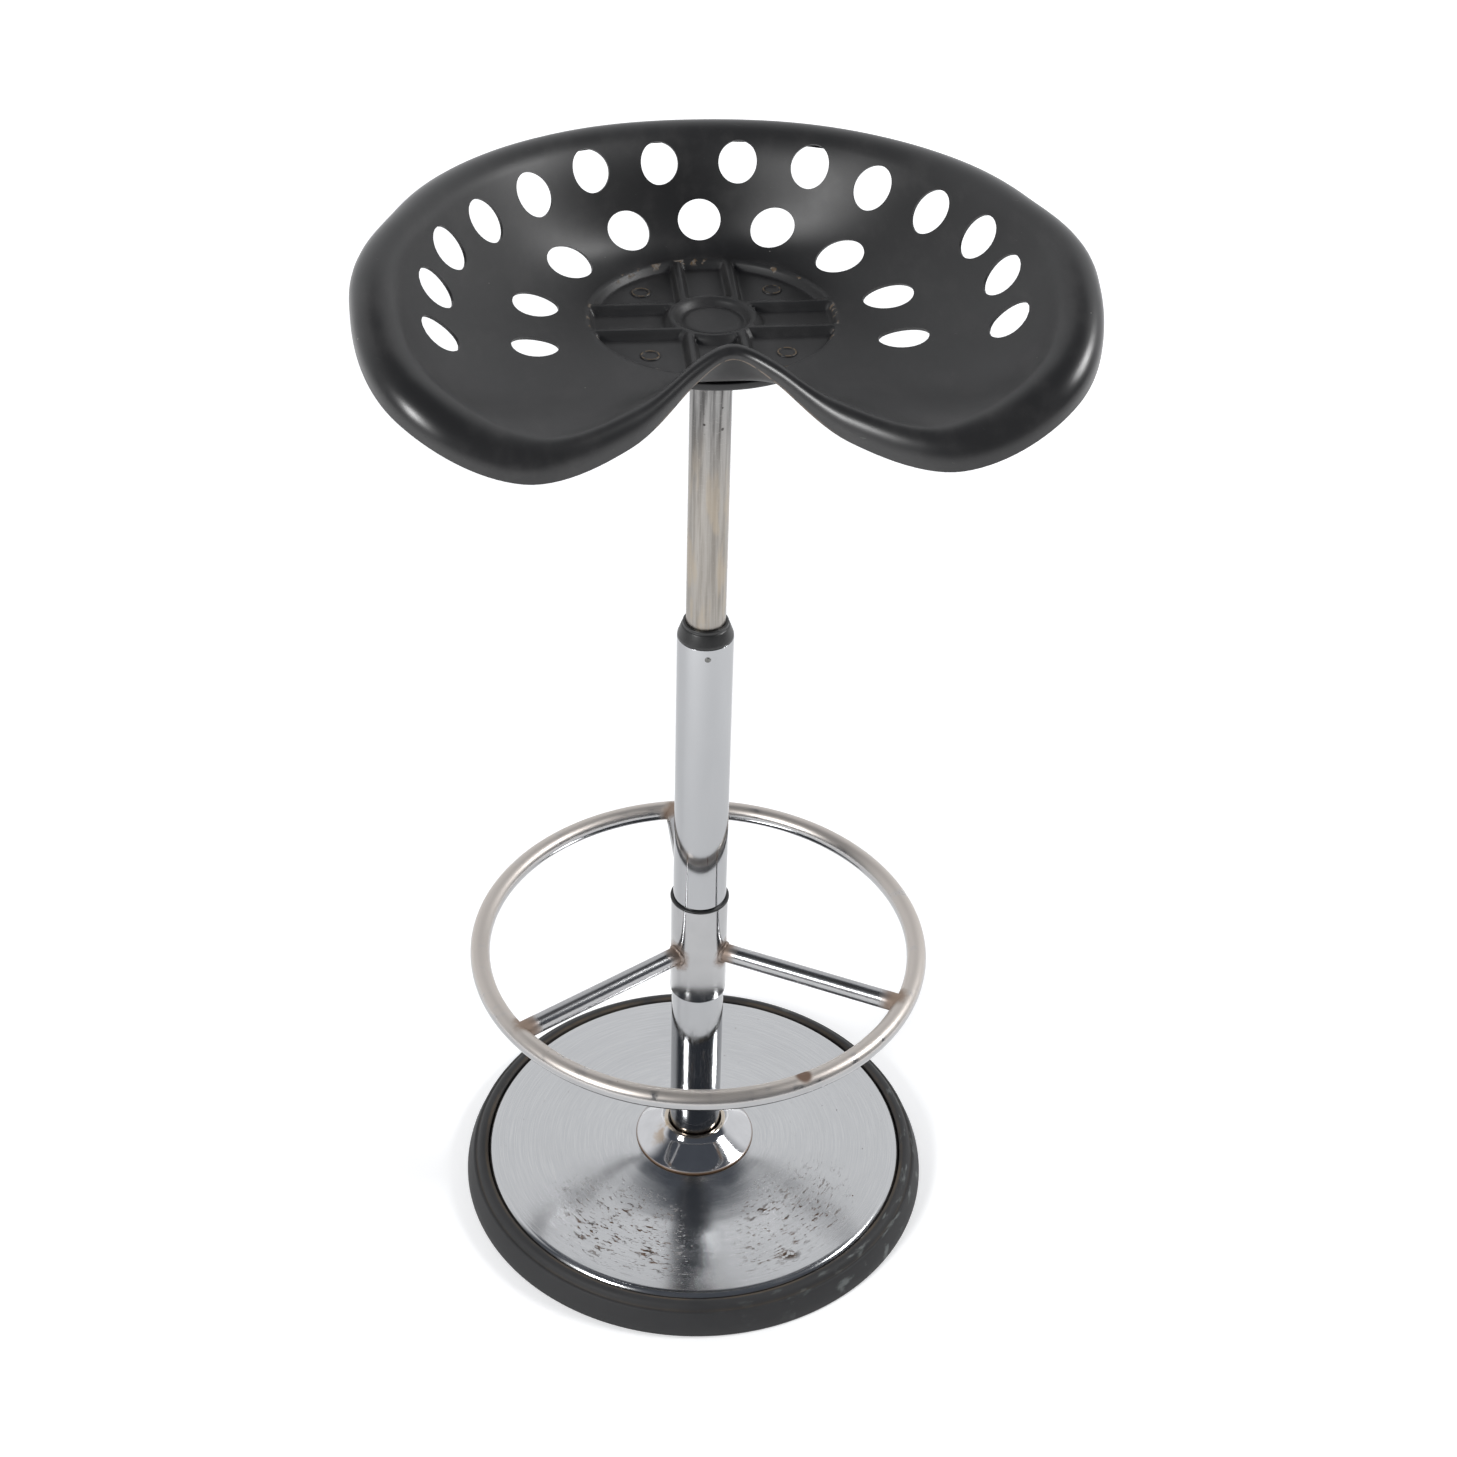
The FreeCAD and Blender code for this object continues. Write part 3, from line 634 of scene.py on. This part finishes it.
# ---------------------------------------------------------------- lift tube
# Nickel-plated steel tube, 28 mm across, that slides in the column.  Sliding has left
# upright streaks, tan patches of worn plating and a few dark pits.
def lift_tube_finish():
    material, shader, at = finish("lift_nickel", 0.25, 1.0)
    streaks = cloud(stretched(at, (1, 1, 26)), 0.0040, 4.0, 0.6)
    broad = cloud(stretched(at, (1, 1, 5)), 0.010, 4.0)
    fine = cloud(at, 0.0007, 4.0)
    rings = cloud(stretched(at, (6, 6, 1)), 0.0009, 3.0) * fade(fine, 0.30, 0.60)
    z = at.node("SeparateXYZ", None, {"Vector": at}, "Z")
    tan = fade(broad, 0.47, 0.62) * (1 - fade(z, 0.620, 0.700))
    chips = pits(at, 0.006, 0.34, 0.22) * fade(z, 0.680, 0.700)
    colour = mix(fade(streaks, 0.36, 0.62), (0.075, 0.073, 0.072, 1), (0.27, 0.265, 0.26, 1))
    colour = mix((1 - fade(z, 0.62, 0.72)) * 0.45, colour, (0.46, 0.42, 0.37, 1))
    colour = mix(fade(rings, 0.50, 0.70) * 0.22, colour, (0.48, 0.46, 0.43, 1))
    colour = mix(tan * 0.6, colour, (0.40, 0.34, 0.265, 1))
    colour = mix(fade(streaks, 0.62, 0.72) * 0.4, colour, (0.12, 0.115, 0.11, 1))
    colour = mix(chips, colour, (0.035, 0.028, 0.025, 1))
    rough = 0.20 + streaks * 0.16 + fine * 0.06 + tan * 0.06 + chips * 0.4
    feed(shader, colour, rough, 1 - chips * 0.8, streaks * 0.010 + fine * 0.003 - chips * 0.06)
    return material


lift_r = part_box("lift_tube")[1][0] / MM
lift_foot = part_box("lift_tube")[0][2] / MM
lift_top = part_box("lift_tube")[1][2] / MM
lift_tube = turned(
    "lift_tube_plated",
    [
        (lift_r, lift_foot, 0.3),
        (lift_r, lift_top),
        (lift_r - 2.0, lift_top),
        (lift_r - 2.0, lift_foot),
    ],
    lift_tube_finish(),
    steps=96,
)
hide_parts("lift_tube")
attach(lift_tube, "seat")


# ---------------------------------------------------------------- support dish
# Pressed steel dish with an upturned rim, painted black with the seat.  It is welded
# to the head of the lift tube and riveted under the recess of the pan.
def seat_paint(name, shine):
    """Semi-gloss black stoving paint: faint orange peel, grey haze, dust and fine scratches."""
    material, shader, at = finish(name, shine, Coat_Roughness=0.30)
    _, _, z, radius = polar(at)
    haze = cloud(at, 0.060, 4.0)
    smear = cloud(stretched(at, (1.0, 2.2, 1.0)), 0.018, 5.0, 0.6)
    peel = cloud(at, 0.0022, 2.0)
    fine = cloud(at, 0.0006, 2.0)
    dust = pits(at, 0.011, 0.055, 0.16)
    aslant = {"Vector": at, "Angle": 0.5}
    scratch_at = at.node("VectorRotate", {"rotation_type": "Z_AXIS"}, aslant)
    scratch = fade(cloud(stretched(scratch_at, (22, 0.7, 1)), 0.0015, 2.0), 0.735, 0.76)
    scratch = scratch * fade(haze, 0.42, 0.60)
    # Paint is chipped to primer and rust along the step of the recess.
    step = (1 - fade(abs(radius - 0.0790), 0.0008, 0.0022)) * fade(z, 0.7655, 0.7685)
    chip = step * fade(cloud(at, 0.0075, 4.0), 0.575, 0.62)
    tone = mix(haze, (0.0125, 0.0125, 0.0130, 1), (0.0200, 0.0195, 0.0198, 1))
    tone = mix(fade(smear, 0.45, 0.75) * 0.45, tone, (0.040, 0.038, 0.038, 1))
    tone = mix(dust * 0.75, tone, (0.26, 0.25, 0.23, 1))
    tone = mix(scratch * 0.35, tone, (0.16, 0.155, 0.15, 1))
    bared = fade(cloud(at, 0.003), 0.4, 0.6)
    primer = mix(bared, (0.16, 0.10, 0.05, 1), (0.24, 0.215, 0.19, 1))
    tone = mix(chip * 0.75, tone, primer)
    rough = shine - 0.05 + haze * 0.08 + smear * 0.10 + scratch * 0.1 + chip * 0.3
    height = peel * 0.006 + fine * 0.0012 + smear * 0.02 - scratch * 0.004 - chip * 0.05
    return material, shader, at, tone, rough, height


paint_under, under_shader, _, tone, rough, height = seat_paint("black_paint_under", 0.46)
feed(under_shader, tone, rough, None, height)
support_low, support_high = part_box("support_dish")
support_r = support_high[0] / MM
support_foot = support_low[2] / MM
support_top = support_high[2] / MM
support = turned(
    "support_dish_pressing",
    [
        (0.0, support_foot),
        (support_r, support_foot, 3.2),
        (support_r, support_top, 0.8),
        (support_r - 2.4, support_top, 0.8),
        (support_r - 2.4, support_foot + 2.4, 1.2),
        (0.0, support_foot + 2.4),
    ],
    paint_under,
)
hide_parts("support_dish")
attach(support, "seat")


# ---------------------------------------------------------------- seat pan
# One sheet of 2 mm steel: the round blank is punched with oval vents, then pressed to
# the shape of the sitter, with a ribbed recess in the middle and a rolled edge.
SHEET = 2.0
CUT_EDGE = 0.35
WIDTH_TRIM = 0.9993
RECESS_FLOOR = 764.8
BOWL_FOOT_R = 80.0
BOWL_FOOT_Z = 770.0
BOWL_FOOT_SLOPE = 4.0
BOWL_FULLNESS = 1.05
SECTIONS = (
    # angle from the back, reach of the crest, its height, slope there, roll, edge
    (0, 138, 842, 40, 17, 4),
    (30, 140, 845, 45, 17, 4),
    (60, 156, 848, 58, 17, 4),
    (90, 185, 851.8, 60, 17, 4),
    (112, 225, 848, 55, 17, 4),
    (132, 249, 820, 46, 17, 4),
    (148, 223, 792, 14, 17, 4),
    (160, 171, 795, 10, 15, 4),
    (170, 134, 807, 8, 8, 3),
    (180, 120, 812, 15, 5, 2),
)
# Each vent has its place in plan, its size along and across its long axis, and that axis's
# turn from the climb; the left half mirrors the right.
VENTS = (
    (26, 113, 28.5, 25.5, 0),
    (72, 97, 29.5, 25.5, -7),
    (110, 70, 31.0, 25.5, -14),
    (142, 31, 32.0, 25.5, -16),
    (165, -12, 31.0, 24.5, -6),
    (174, -51, 30.0, 24.5, 2),
    (172, -90, 30.5, 21.5, 4),
    (0, 102, 28.5, 27.0, 90),
    (48, 90, 31.0, 25.5, -61),
    (89, 55, 35.5, 23.0, -54),
    (113, 0, 38.5, 22.0, -40),
    (115, -52, 35.0, 21.0, -11),
)


def section_value(column, angle):
    """A smooth value between the sections, level at the back and at the notch."""
    angle = abs((angle + 180.0) % 360.0 - 180.0)
    last = len(SECTIONS) - 1
    i = 0
    while i < last - 1 and angle > SECTIONS[i + 1][0]:
        i += 1

    def slope(j):
        if j in (0, last):
            return 0.0
        rise = SECTIONS[j + 1][column] - SECTIONS[j - 1][column]
        return rise / (SECTIONS[j + 1][0] - SECTIONS[j - 1][0])

    span = SECTIONS[i + 1][0] - SECTIONS[i][0]
    t = (angle - SECTIONS[i][0]) / span
    return (
        (2 * t**3 - 3 * t**2 + 1) * SECTIONS[i][column]
        + (t**3 - 2 * t**2 + t) * span * slope(i)
        + (3 * t**2 - 2 * t**3) * SECTIONS[i + 1][column]
        + (t**3 - t**2) * span * slope(i + 1)
    )


def bowl_point(angle, t):
    """Radius and height of the bowl's upper face, t from the recess (0) to the roll (1)."""
    reach, crest, slope, roll = [section_value(c, angle) for c in (1, 2, 3, 4)]
    end = math.radians(slope)
    start = math.radians(BOWL_FOOT_SLOPE)
    r1 = reach - roll * math.sin(end)
    z1 = crest - roll * (1 - math.cos(end))
    pull = math.hypot(r1 - BOWL_FOOT_R, z1 - BOWL_FOOT_Z) * BOWL_FULLNESS
    a = 2 * t**3 - 3 * t**2 + 1
    b = (t**3 - 2 * t**2 + t) * pull
    c = 3 * t**2 - 2 * t**3
    d = (t**3 - t**2) * pull
    r = a * BOWL_FOOT_R + b * math.cos(start) + c * r1 + d * math.cos(end)
    z = a * BOWL_FOOT_Z + b * math.sin(start) + c * z1 + d * math.sin(end)
    return r, z


def soft_step(value, low, high):
    share = min(max((value - low) / (high - low), 0.0), 1.0)
    return share * share * (3 - 2 * share)


def recess_height(x, y):
    """Height of the recess: a step down, a boss and a cross of paired ridges."""
    r = math.hypot(x, y)
    rise = BOWL_FOOT_Z - RECESS_FLOOR
    wall = soft_step(r, 76.2, 79.6)
    boss = 1 - soft_step(abs(r - 26.6), 1.2, 6.0)
    ridge = 0.0
    for along, across in ((x, y), (y, x)):
        beside = 1 - soft_step(abs(abs(across) - 17.0), 1.5, 5.0)
        ridge = max(ridge, beside * soft_step(abs(along), 19.0, 24.0))
    hollow = 1 - soft_step(r, 17.0, 21.0)
    return RECESS_FLOOR + rise * max(wall, boss, ridge) + 1.8 * hollow


ROWS_RECESS = 48
ROWS_BOWL = 46
ROWS_ROLL = 12
TURNS = 360


def pressed(row, angle):
    """Where the press takes the point of the blank in this row, at this angle from the back."""
    a = math.radians(angle)
    if row <= ROWS_RECESS:
        r = BOWL_FOOT_R * row / ROWS_RECESS
        x, y = r * math.sin(a), r * math.cos(a)
        return Vector((x, y, recess_height(x, y)))
    row -= ROWS_RECESS
    if row <= ROWS_BOWL:
        r, z = bowl_point(angle, row / ROWS_BOWL)
        return Vector((r * math.sin(a), r * math.cos(a), z))
    row -= ROWS_BOWL
    reach, crest, slope, roll, edge = [section_value(c, angle) for c in (1, 2, 3, 4, 5)]
    if row <= ROWS_ROLL:
        turn = math.radians(slope - (slope + 90.0) * row / ROWS_ROLL)
        r, z = reach - roll * math.sin(turn), crest - roll + roll * math.cos(turn)
    else:
        r, z = reach + roll, crest - roll - edge
    return Vector((r * math.sin(a), r * math.cos(a), z))


def on_bowl(x, y):
    """The point of the bowl over a plan position, with the directions up and across it."""
    angle = math.degrees(math.atan2(x, y))
    want = math.hypot(x, y)
    low, high = 0.0, 1.0
    for _ in range(30):
        t = (low + high) / 2
        low, high = (t, high) if bowl_point(angle, t)[0] < want else (low, t)
    r0, z0 = bowl_point(angle, max(t - 0.02, 0.0))
    r1, z1 = bowl_point(angle, min(t + 0.02, 1.0))
    outward = Vector((x, y, 0)) / want
    climb = (outward * (r1 - r0) + Vector((0, 0, z1 - z0))).normalized()
    return Vector((x, y, bowl_point(angle, t)[1])), climb, Vector((-outward.y, outward.x, 0))


def punch(bm, x, y, length, width, turn):
    """Opens one oval vent: drops the faces inside it and draws its edge to the oval."""
    centre, climb, across = on_bowl(x, y)
    turn = math.radians(turn)
    long_way = climb * math.cos(turn) + across * math.sin(turn)
    short_way = across * math.cos(turn) - climb * math.sin(turn)
    half_long, half_short = length / 2, width / 2

    def local(point):
        gap = point - centre
        return gap.dot(long_way) / half_long, gap.dot(short_way) / half_short

    near = [f for f in bm.faces if (f.calc_center_median() - centre).length < length]
    inside = [f for f in near if math.hypot(*local(f.calc_center_median())) < 1.0]
    rim = {v for f in inside for v in f.verts}
    bmesh.ops.delete(bm, geom=inside, context="FACES_ONLY")
    near = [f for f in near if f.is_valid]
    flaps = [f for f in near if all(v in rim for v in f.verts)]
    bmesh.ops.delete(bm, geom=flaps, context="FACES_ONLY")
    for v in rim:
        if not v.link_faces:
            continue
        u, w = local(v.co)
        size = math.hypot(u, w)
        for _ in range(6):
            now = local(v.co)
            slip = long_way * ((u / size - now[0]) * half_long)
            slip += short_way * ((w / size - now[1]) * half_short)
            v.co = on_bowl(v.co.x + slip.x, v.co.y + slip.y)[0]


bm = bmesh.new()
rows = ROWS_RECESS + ROWS_BOWL + ROWS_ROLL + 1
line = [bm.verts.new((0, row, 0)) for row in range(rows + 1)]
for one, other in zip(line, line[1:]):
    bm.edges.new((one, other))
bmesh.ops.spin(
    bm, geom=bm.verts[:] + bm.edges[:], cent=(0, 0, 0), axis=(0, 0, -1),
    angle=2 * math.pi, steps=TURNS, use_merge=True,
)
bmesh.ops.remove_doubles(bm, verts=bm.verts[:], dist=1e-4)
rim_share = bm.verts.layers.float.new("rim_share")
for v in bm.verts:
    row = round(v.co.xy.length)
    v[rim_share] = max(0.0, (row - ROWS_RECESS - ROWS_BOWL) / (ROWS_ROLL + 1))
    v.co = pressed(row, math.degrees(math.atan2(v.co.x, v.co.y)))
for x, y, length, width, turn in VENTS:
    for side in (1, -1) if x else (1,):
        punch(bm, side * x, y, length, width, side * turn)
bmesh.ops.delete(bm, geom=[e for e in bm.edges if not e.link_faces], context="EDGES")
bmesh.ops.delete(bm, geom=[v for v in bm.verts if not v.link_faces], context="VERTS")
bmesh.ops.recalc_face_normals(bm, faces=bm.faces[:])
if sum(f.normal.z for f in bm.faces if f.calc_center_median().xy.length < 60) < 0:
    bmesh.ops.reverse_faces(bm, faces=bm.faces[:])
bmesh.ops.scale(bm, vec=(MM * WIDTH_TRIM, MM, MM), verts=bm.verts[:])


def pan_finish():
    material, shader, at, tone, rough, height = seat_paint("black_paint_pan", 0.43)
    x, y, _, _ = polar(at)
    rim = at.node("Attribute", {"attribute_name": "rim_share"}, output="Fac")
    notch = fade(y * -1, 0.095, 0.115) * (1 - fade(abs(x), 0.030, 0.065))
    notch = notch * fade(rim, 0.96, 0.995)
    bare = notch * fade(cloud(at, 0.007, 3.0), 0.36, 0.52)
    tone = mix(bare * 0.7, tone, (0.20, 0.15, 0.11, 1))
    rolled = fade(rim, 0.15, 0.5)
    feed(shader, tone, rough - rolled * 0.14, None, height)
    return material


seat_pan = settle(bm, "seat_pan_pressing", [pan_finish()], crease=70.0)
sheet = seat_pan.modifiers.new("sheet", "SOLIDIFY")
sheet.thickness = SHEET * MM
sheet.offset = -1
cut_edge = seat_pan.modifiers.new("cut_edge", "BEVEL")
cut_edge.width = CUT_EDGE * MM
cut_edge.segments = 2
cut_edge.limit_method = "ANGLE"
cut_edge.angle_limit = math.radians(60)
even = seat_pan.modifiers.new("even_normals", "WEIGHTED_NORMAL")
even.keep_sharp = True
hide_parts("seat_pan")
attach(seat_pan, "seat")


# ---------------------------------------------------------------- seat rivets
# Four hollow rivets through the recess and the support dish, closed to a shallow cup
# and painted over; the paint has broken round their edges.
def rivet_finish():
    material, shader, at, tone, rough, height = seat_paint("black_paint_rivets", 0.42)
    z = at.node("SeparateXYZ", None, {"Vector": at}, "Z")
    edge = fade(z, 0.76545, 0.76565) * fade(cloud(at, 0.003, 3.0), 0.40, 0.55)
    feed(shader, mix(edge * 0.5, tone, (0.22, 0.15, 0.08, 1)), rough, None, height)
    return material


rivet_r = 6.6
rivet_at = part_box("seat_rivets")[1][0] / MM - rivet_r
# radius and height over the floor of the recess, from the cup to the flange
rivet_outline = (
    (0, -1.0),
    (2.6, -0.8),
    (4.4, 0.0),
    (5.2, 0.85),
    (5.9, 0.95),
    (6.5, 0.5),
    (rivet_r, 0.0),
    (6.0, -1.2),
)
bm = bmesh.new()
for side_x in (-1, 1):
    for side_y in (-1, 1):
        before = set(bm.verts)
        line = [bm.verts.new((r * MM, 0, (RECESS_FLOOR + z) * MM)) for r, z in rivet_outline]
        edges = [bm.edges.new((one, other)) for one, other in zip(line, line[1:])]
        bmesh.ops.spin(
            bm, geom=line + edges, cent=(0, 0, 0), axis=(0, 0, 1),
            angle=2 * math.pi, steps=40, use_merge=True,
        )
        offset = Vector((side_x * rivet_at, side_y * rivet_at, 0)) * MM
        bmesh.ops.translate(bm, vec=offset, verts=[v for v in bm.verts if v not in before])
bmesh.ops.remove_doubles(bm, verts=bm.verts[:], dist=1e-7)
bmesh.ops.recalc_face_normals(bm, faces=bm.faces[:])
if sum(f.normal.z for f in bm.faces) < 0:
    bmesh.ops.reverse_faces(bm, faces=bm.faces[:])
rivets = settle(bm, "seat_rivets_closed", [rivet_finish()], crease=60.0)
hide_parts("seat_rivets")
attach(rivets, "seat")


# ---------------------------------------------------------------- inside and underneath
# The cast weight, its pad and bolts, the lift screw, nut, guide and stops are the plain
# machined pieces of the assembly; each keeps its shape and gets its own finish.
def cast_finish():
    material, shader, at = finish("cast_weight", 0.7, 0.6)
    sand = cloud(at, 0.002, 5.0, 0.7)
    broad = cloud(at, 0.03, 3.0)
    colour = mix(broad, (0.055, 0.050, 0.047, 1), (0.11, 0.098, 0.09, 1))
    feed(shader, colour, 0.55 + sand * 0.3, None, sand * 0.3)
    return material


def pad_finish():
    material, shader, at = finish("pad_rubber", 0.8)
    grain = cloud(at, 0.001, 3.0)
    broad = cloud(at, 0.04, 4.0)
    colour = mix(broad, (0.025, 0.025, 0.025, 1), (0.06, 0.058, 0.055, 1))
    feed(shader, colour, 0.7 + broad * 0.2, None, grain * 0.06)
    return material


def nylon_finish():
    material, shader, at = finish("guide_nylon", 0.4)
    broad = cloud(at, 0.006, 3.0)
    colour = mix(broad, (0.62, 0.60, 0.53, 1), (0.72, 0.70, 0.64, 1))
    feed(shader, colour, 0.32 + broad * 0.15, None, broad * 0.03)
    return material


machined = steel_finish("machined_steel", (0.30, 0.29, 0.28), (0.46, 0.45, 0.43), 0.28)
brass = steel_finish("nut_brass", (0.60, 0.42, 0.18), (0.74, 0.56, 0.28), 0.24)
inner_finishes = {
    "ballast_plate": cast_finish(),
    "floor_pad": pad_finish(),
    "lift_guide_bush": nylon_finish(),
    "spindle_nut": brass,
}
for node in ("column_flange", "spindle_plug", "lift_spindle", "head_plug"):
    inner_finishes[node] = machined
for node in ("base_bolts", "sleeve_screw", "stop_washer", "stop_screw"):
    inner_finishes[node] = zinc
for node in ("guide_circlip", "nut_pins", "head_screw"):
    inner_finishes[node] = zinc
for node, material in inner_finishes.items():
    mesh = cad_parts[node].data
    mesh.materials.clear()
    mesh.materials.append(material)


# ---------------------------------------------------------------- studio
# A white paper floor, a room that is pale behind the stool and dark in front of it and
# overhead, and two soft boxes high on either side.
def paper_finish():
    material, shader, at = finish("paper_floor", 0.9, Specular_IOR_Level=0.0)
    # Painted light: the paper glows by itself, dim near the stool and brighter far from it, so
    # that the whole floor looks evenly white.
    shader.inputs["Emission Strength"].default_value = 1.0
    far = fade(polar(at)[3], 0.5, 2.6)
    painted_glow = mix(far, (0.32, 0.32, 0.32, 1), (0.80, 0.80, 0.80, 1))
    fibre = cloud(at, 0.004, 4.0)
    colour = mix(fibre, (0.86, 0.86, 0.86, 1), (0.90, 0.90, 0.90, 1))
    feed(shader, colour, None, None, fibre * 0.01, painted_glow)
    return material


FLOOR_HALF = 12.0
FLOOR_GAP = 0.0003
bm = bmesh.new()
bmesh.ops.create_grid(bm, x_segments=1, y_segments=1, size=FLOOR_HALF)
bmesh.ops.translate(bm, vec=(0, 0, -FLOOR_GAP), verts=bm.verts[:])
floor = settle(bm, "paper_floor", [paper_finish()])

world = bpy.data.worlds.new("studio")
bpy.context.scene.world = world
world.use_nodes = True
sky = world.node_tree.nodes["Background"]
way = Shade(world.node_tree).node("TexCoord", output="Generated")
_, way_y, way_z, _ = polar(way)
bright = fade(way_y, 0.00, 0.34) * (1 - fade(way_z, 0.80, 0.85))
seen = way.node("LightPath", output="Is Camera Ray")
light = mix(bright, (0.085, 0.094, 0.112, 1), (0.95, 0.96, 0.98, 1))
light = mix(seen, light, (1.0, 1.0, 1.0, 1))
world.node_tree.links.new(light.socket, sky.inputs["Color"])
sky.inputs["Strength"].default_value = 1.0

LAMPS_AIM = Vector((0, 0, 0.45))
for name, place, watts, width in (
    ("soft_box_left", (-2.0, -1.6, 1.8), 56.0, 0.7),
    ("soft_box_right", (2.2, -0.1, 2.1), 40.0, 0.7),
):
    lamp = bpy.data.lights.new(name, "AREA")
    lamp.energy = watts
    lamp.size = width
    lamp_object = bpy.data.objects.new(name, lamp)
    bpy.context.collection.objects.link(lamp_object)
    lamp_object.location = place
    aim = LAMPS_AIM - Vector(place)
    lamp_object.rotation_euler = aim.to_track_quat("-Z", "Y").to_euler()


# ---------------------------------------------------------------- camera
# It stands in front of the seat, a little to the left, and looks down on the stool.
CAMERA_AT = (-148.6, -1438.2, 1515.0)
CAMERA_DOWN = 0.6386
CAMERA_HEADING = 0.0124 + math.radians(5.9)
CAMERA_ROLL = 0.0298
lens = bpy.data.cameras.new("camera")
lens.lens = 62.11
lens.sensor_width = 36.0
camera = bpy.data.objects.new("camera", lens)
bpy.context.collection.objects.link(camera)
camera.matrix_world = (
    Matrix.Translation(Vector(CAMERA_AT) * MM)
    @ Matrix.Rotation(-CAMERA_HEADING, 4, "Z")
    @ Matrix.Rotation(math.pi / 2 - CAMERA_DOWN, 4, "X")
    @ Matrix.Rotation(CAMERA_ROLL, 4, "Z")
)
bpy.context.scene.camera = camera
bpy.context.scene.view_settings.view_transform = "Standard"

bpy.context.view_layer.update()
